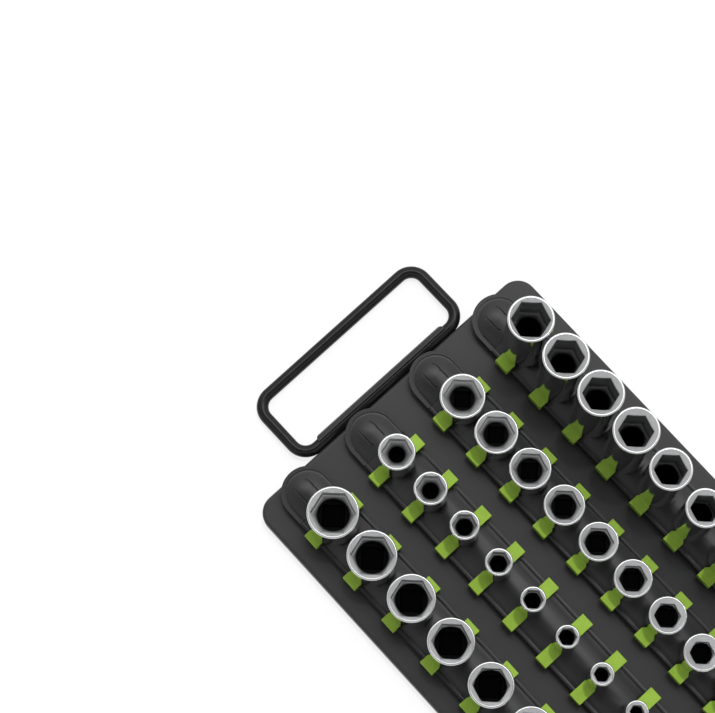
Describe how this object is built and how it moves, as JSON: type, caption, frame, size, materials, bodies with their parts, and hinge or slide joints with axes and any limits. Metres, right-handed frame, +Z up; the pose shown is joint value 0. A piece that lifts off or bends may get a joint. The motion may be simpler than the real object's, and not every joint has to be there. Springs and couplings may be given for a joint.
{
  "type": "socket tray",
  "caption": "Flat black steel tray with clip rails side by side, sliding green clips that each hold a chrome socket on a square stud, and a wire carrying handle hinged in a rolled hem.",
  "frame": {"origin": "on the table, below the middle of the whole outline with the handle laid flat", "axes": "+X along the rails, away from the handle; +Y across the rails, from the row of largest sockets to the row of deep sockets; +Z up"},
  "size_m": [0.3696, 0.207, 0.0972],
  "materials": {
    "black_sheet": "satin",
    "black_rod": "gloss",
    "black_plastic": "satin",
    "green_plastic": "satin",
    "chrome": "polished",
    "steel": "satin",
    "rubber": "matte"
  },
  "bodies": {
    "tray": {"tray_plate": "black_sheet", "rubber_feet": "rubber", "rail_screws": "steel", "end_caps_handle_end": "black_plastic", "end_caps_far_end": "black_plastic", "rail_a": "black_plastic", "rail_b": "black_plastic", "rail_c": "black_plastic", "rail_d": "black_plastic"},
    "handle": {"carry_handle": "black_rod"},
    "clip_row_a": {"clips_a": "green_plastic", "studs_a": "black_plastic", "detents_a": "steel"},
    "socket_a1": {"socket_a1": "chrome"},
    "socket_a2": {"socket_a2": "chrome"},
    "socket_a3": {"socket_a3": "chrome"},
    "socket_a4": {"socket_a4": "chrome"},
    "socket_a5": {"socket_a5": "chrome"},
    "socket_a6": {"socket_a6": "chrome"},
    "socket_a7": {"socket_a7": "chrome"},
    "socket_a8": {"socket_a8": "chrome"},
    "clip_row_b": {"clips_b": "green_plastic", "studs_b": "black_plastic", "detents_b": "steel"},
    "socket_b1": {"socket_b1": "chrome"},
    "socket_b2": {"socket_b2": "chrome"},
    "socket_b3": {"socket_b3": "chrome"},
    "socket_b4": {"socket_b4": "chrome"},
    "socket_b5": {"socket_b5": "chrome"},
    "socket_b6": {"socket_b6": "chrome"},
    "socket_b7": {"socket_b7": "chrome"},
    "socket_b8": {"socket_b8": "chrome"},
    "socket_b9": {"socket_b9": "chrome"},
    "socket_b10": {"socket_b10": "chrome"},
    "clip_row_c": {"clips_c": "green_plastic", "studs_c": "black_plastic", "detents_c": "steel"},
    "socket_c1": {"socket_c1": "chrome"},
    "socket_c2": {"socket_c2": "chrome"},
    "socket_c3": {"socket_c3": "chrome"},
    "socket_c4": {"socket_c4": "chrome"},
    "socket_c5": {"socket_c5": "chrome"},
    "socket_c6": {"socket_c6": "chrome"},
    "socket_c7": {"socket_c7": "chrome"},
    "socket_c8": {"socket_c8": "chrome"},
    "socket_c9": {"socket_c9": "chrome"},
    "socket_c10": {"socket_c10": "chrome"},
    "clip_row_d": {"clips_d": "green_plastic", "studs_d": "black_plastic", "detents_d": "steel"},
    "socket_d1": {"socket_d1": "chrome"},
    "socket_d2": {"socket_d2": "chrome"},
    "socket_d3": {"socket_d3": "chrome"},
    "socket_d4": {"socket_d4": "chrome"},
    "socket_d5": {"socket_d5": "chrome"},
    "socket_d6": {"socket_d6": "chrome"},
    "socket_d7": {"socket_d7": "chrome"},
    "socket_d8": {"socket_d8": "chrome"},
    "socket_d9": {"socket_d9": "chrome"},
    "socket_d10": {"socket_d10": "chrome"}
  },
  "joints": [
    {"name": "handle_swing", "type": "hinge", "parent": "tray", "child": "handle", "pos_m": [-0.13896, 0, 0.00625], "axis": [0, 1, 0], "range_deg": [0, 96]},
    {"name": "clip_row_a_slide", "type": "slide", "parent": "tray", "child": "clip_row_a", "axis": [1, 0, 0], "range_m": [-0.0065, 0.0277]},
    {"name": "socket_a1_lift", "type": "slide", "parent": "clip_row_a", "child": "socket_a1", "axis": [0, 0, 1], "range_m": [0, 0.0135]},
    {"name": "socket_a2_lift", "type": "slide", "parent": "clip_row_a", "child": "socket_a2", "axis": [0, 0, 1], "range_m": [0, 0.0135]},
    {"name": "socket_a3_lift", "type": "slide", "parent": "clip_row_a", "child": "socket_a3", "axis": [0, 0, 1], "range_m": [0, 0.0135]},
    {"name": "socket_a4_lift", "type": "slide", "parent": "clip_row_a", "child": "socket_a4", "axis": [0, 0, 1], "range_m": [0, 0.0135]},
    {"name": "socket_a5_lift", "type": "slide", "parent": "clip_row_a", "child": "socket_a5", "axis": [0, 0, 1], "range_m": [0, 0.0135]},
    {"name": "socket_a6_lift", "type": "slide", "parent": "clip_row_a", "child": "socket_a6", "axis": [0, 0, 1], "range_m": [0, 0.0135]},
    {"name": "socket_a7_lift", "type": "slide", "parent": "clip_row_a", "child": "socket_a7", "axis": [0, 0, 1], "range_m": [0, 0.0135]},
    {"name": "socket_a8_lift", "type": "slide", "parent": "clip_row_a", "child": "socket_a8", "axis": [0, 0, 1], "range_m": [0, 0.0135]},
    {"name": "clip_row_b_slide", "type": "slide", "parent": "tray", "child": "clip_row_b", "axis": [1, 0, 0], "range_m": [-0.006, 0.005]},
    {"name": "socket_b1_lift", "type": "slide", "parent": "clip_row_b", "child": "socket_b1", "axis": [0, 0, 1], "range_m": [0, 0.0075]},
    {"name": "socket_b2_lift", "type": "slide", "parent": "clip_row_b", "child": "socket_b2", "axis": [0, 0, 1], "range_m": [0, 0.0075]},
    {"name": "socket_b3_lift", "type": "slide", "parent": "clip_row_b", "child": "socket_b3", "axis": [0, 0, 1], "range_m": [0, 0.0075]},
    {"name": "socket_b4_lift", "type": "slide", "parent": "clip_row_b", "child": "socket_b4", "axis": [0, 0, 1], "range_m": [0, 0.0075]},
    {"name": "socket_b5_lift", "type": "slide", "parent": "clip_row_b", "child": "socket_b5", "axis": [0, 0, 1], "range_m": [0, 0.0075]},
    {"name": "socket_b6_lift", "type": "slide", "parent": "clip_row_b", "child": "socket_b6", "axis": [0, 0, 1], "range_m": [0, 0.0075]},
    {"name": "socket_b7_lift", "type": "slide", "parent": "clip_row_b", "child": "socket_b7", "axis": [0, 0, 1], "range_m": [0, 0.0075]},
    {"name": "socket_b8_lift", "type": "slide", "parent": "clip_row_b", "child": "socket_b8", "axis": [0, 0, 1], "range_m": [0, 0.0075]},
    {"name": "socket_b9_lift", "type": "slide", "parent": "clip_row_b", "child": "socket_b9", "axis": [0, 0, 1], "range_m": [0, 0.0075]},
    {"name": "socket_b10_lift", "type": "slide", "parent": "clip_row_b", "child": "socket_b10", "axis": [0, 0, 1], "range_m": [0, 0.0075]},
    {"name": "clip_row_c_slide", "type": "slide", "parent": "tray", "child": "clip_row_c", "axis": [1, 0, 0], "range_m": [-0.0061, 0.0033]},
    {"name": "socket_c1_lift", "type": "slide", "parent": "clip_row_c", "child": "socket_c1", "axis": [0, 0, 1], "range_m": [0, 0.01]},
    {"name": "socket_c2_lift", "type": "slide", "parent": "clip_row_c", "child": "socket_c2", "axis": [0, 0, 1], "range_m": [0, 0.01]},
    {"name": "socket_c3_lift", "type": "slide", "parent": "clip_row_c", "child": "socket_c3", "axis": [0, 0, 1], "range_m": [0, 0.01]},
    {"name": "socket_c4_lift", "type": "slide", "parent": "clip_row_c", "child": "socket_c4", "axis": [0, 0, 1], "range_m": [0, 0.01]},
    {"name": "socket_c5_lift", "type": "slide", "parent": "clip_row_c", "child": "socket_c5", "axis": [0, 0, 1], "range_m": [0, 0.01]},
    {"name": "socket_c6_lift", "type": "slide", "parent": "clip_row_c", "child": "socket_c6", "axis": [0, 0, 1], "range_m": [0, 0.01]},
    {"name": "socket_c7_lift", "type": "slide", "parent": "clip_row_c", "child": "socket_c7", "axis": [0, 0, 1], "range_m": [0, 0.01]},
    {"name": "socket_c8_lift", "type": "slide", "parent": "clip_row_c", "child": "socket_c8", "axis": [0, 0, 1], "range_m": [0, 0.01]},
    {"name": "socket_c9_lift", "type": "slide", "parent": "clip_row_c", "child": "socket_c9", "axis": [0, 0, 1], "range_m": [0, 0.01]},
    {"name": "socket_c10_lift", "type": "slide", "parent": "clip_row_c", "child": "socket_c10", "axis": [0, 0, 1], "range_m": [0, 0.01]},
    {"name": "clip_row_d_slide", "type": "slide", "parent": "tray", "child": "clip_row_d", "axis": [1, 0, 0], "range_m": [-0.0056, 0.0038]},
    {"name": "socket_d1_lift", "type": "slide", "parent": "clip_row_d", "child": "socket_d1", "axis": [0, 0, 1], "range_m": [0, 0.01]},
    {"name": "socket_d2_lift", "type": "slide", "parent": "clip_row_d", "child": "socket_d2", "axis": [0, 0, 1], "range_m": [0, 0.01]},
    {"name": "socket_d3_lift", "type": "slide", "parent": "clip_row_d", "child": "socket_d3", "axis": [0, 0, 1], "range_m": [0, 0.01]},
    {"name": "socket_d4_lift", "type": "slide", "parent": "clip_row_d", "child": "socket_d4", "axis": [0, 0, 1], "range_m": [0, 0.01]},
    {"name": "socket_d5_lift", "type": "slide", "parent": "clip_row_d", "child": "socket_d5", "axis": [0, 0, 1], "range_m": [0, 0.01]},
    {"name": "socket_d6_lift", "type": "slide", "parent": "clip_row_d", "child": "socket_d6", "axis": [0, 0, 1], "range_m": [0, 0.01]},
    {"name": "socket_d7_lift", "type": "slide", "parent": "clip_row_d", "child": "socket_d7", "axis": [0, 0, 1], "range_m": [0, 0.01]},
    {"name": "socket_d8_lift", "type": "slide", "parent": "clip_row_d", "child": "socket_d8", "axis": [0, 0, 1], "range_m": [0, 0.01]},
    {"name": "socket_d9_lift", "type": "slide", "parent": "clip_row_d", "child": "socket_d9", "axis": [0, 0, 1], "range_m": [0, 0.01]},
    {"name": "socket_d10_lift", "type": "slide", "parent": "clip_row_d", "child": "socket_d10", "axis": [0, 0, 1], "range_m": [0, 0.01]}
  ]
}
